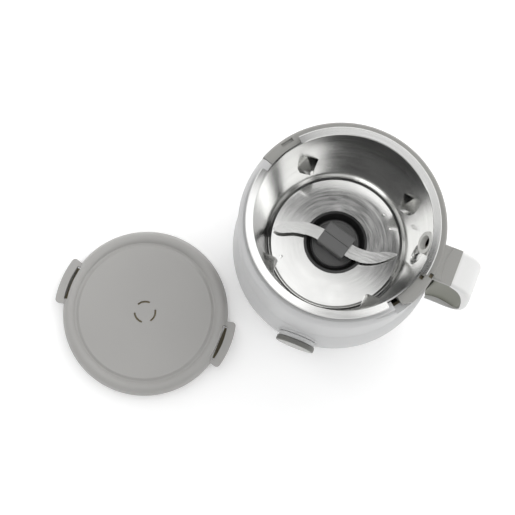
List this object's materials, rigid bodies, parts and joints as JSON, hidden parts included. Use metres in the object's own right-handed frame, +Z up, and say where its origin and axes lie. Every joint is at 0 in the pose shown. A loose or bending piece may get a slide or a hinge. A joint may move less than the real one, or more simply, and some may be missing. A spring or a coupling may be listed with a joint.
{
  "type": "baby food maker",
  "caption": "Steam and blend baby food maker: white heated base, lift-out steel bowl with handle and S-shaped blades, rotary control, round bayonet lid beside it.",
  "frame": {"origin": "on the table under the centre of the bowl, level with the soles of the rubber feet", "axes": "+Z up along the bowl's axis; +X points to the handle; -Y is the front, with the control knob; the lid lies beside the housing towards -X and -Y"},
  "size_m": [0.3674, 0.2973, 0.172],
  "materials": {
    "white_housing": "satin",
    "white_handle": "satin",
    "grey_liner": "matte",
    "olive_liner": "matte",
    "rubber": "matte",
    "screw_steel": "satin",
    "aluminium": "satin",
    "element_steel": "satin",
    "dark_plastic": "matte",
    "board": "satin",
    "motor_steel": "satin",
    "magnet": "matte",
    "bronze": "satin",
    "rotor_iron": "satin",
    "bowl_steel": "brushed",
    "grey_collar": "satin",
    "olive_grip": "matte",
    "white_silicone": "satin",
    "black_hub": "satin",
    "grey_disc": "satin",
    "grey_grip": "matte",
    "blade_steel": "brushed",
    "dial_grey": "satin",
    "dial_face": "satin",
    "grey_lid": "satin"
  },
  "bodies": {
    "housing": {"base_shell": "white_housing", "upper_shell": "white_housing", "inner_well": "olive_liner", "base_plate": "grey_liner", "rubber_feet": "rubber", "base_screws": "screw_steel", "heater_plate": "aluminium", "heater_ring": "element_steel", "thermostat": "dark_plastic", "thermal_fuse": "element_steel", "dial_bezel": "white_housing", "switch_board": "board", "tact_switch": "dark_plastic", "control_board": "board", "power_inlet": "dark_plastic", "motor_can": "motor_steel", "stator_magnets": "magnet", "lower_bearing": "bronze", "upper_bearing": "bronze", "motor_bracket": "motor_steel", "motor_screws": "screw_steel"},
    "rotor": {"motor_shaft": "motor_steel", "rotor_core": "rotor_iron", "commutator": "bronze", "cooling_fan": "dark_plastic", "drive_dog": "dark_plastic"},
    "bowl": {"steel_bowl": "bowl_steel", "rear_collar": "grey_collar", "handle_shell": "white_handle", "handle_liner": "olive_grip", "handle_screws": "screw_steel", "port_grommet": "white_silicone", "hub_well": "black_hub", "hub_nut": "dark_plastic"},
    "cartridge": {"cartridge_disc": "grey_disc", "spindle_bush": "bronze", "cartridge_seal": "rubber"},
    "blades": {"blade_spindle": "blade_steel", "blade_grip": "grey_grip", "low_blade": "blade_steel", "high_blade": "blade_steel", "driven_dog": "dark_plastic"},
    "knob": {"dial_ring": "dial_grey"},
    "button": {"dial_button": "dial_face"},
    "lid": {"lid_body": "grey_lid", "lid_seal": "white_silicone"}
  },
  "joints": [
    {"name": "motor_spin", "type": "hinge", "parent": "housing", "child": "rotor", "pos_m": [0, 0, 0.03], "axis": [0, 0, 1], "continuous": true},
    {"name": "bowl_lift", "type": "slide", "parent": "housing", "child": "bowl", "axis": [0, 0, 1], "range_m": [0, 0.12]},
    {"name": "cartridge_lift", "type": "slide", "parent": "bowl", "child": "cartridge", "axis": [0, 0, 1], "range_m": [0, 0.12]},
    {"name": "blade_spin", "type": "hinge", "parent": "cartridge", "child": "blades", "pos_m": [0, 0, 0.08], "axis": [0, 0, 1], "continuous": true},
    {"name": "knob_turn", "type": "hinge", "parent": "housing", "child": "knob", "pos_m": [0, -0.098, 0.066], "axis": [0, -1, 0], "range_deg": [-135, 135]},
    {"name": "button_press", "type": "slide", "parent": "housing", "child": "button", "axis": [0, 1, 0], "range_m": [0, 0.0012], "stiffness_N_per_m": 600},
    {"name": "lid_lift", "type": "slide", "parent": "housing", "child": "lid", "axis": [0, 0, 1], "range_m": [0, 0.25]}
  ],
  "couplings": [
    {"joint": "blade_spin", "follows": "motor_spin", "ratio": 1}
  ]
}
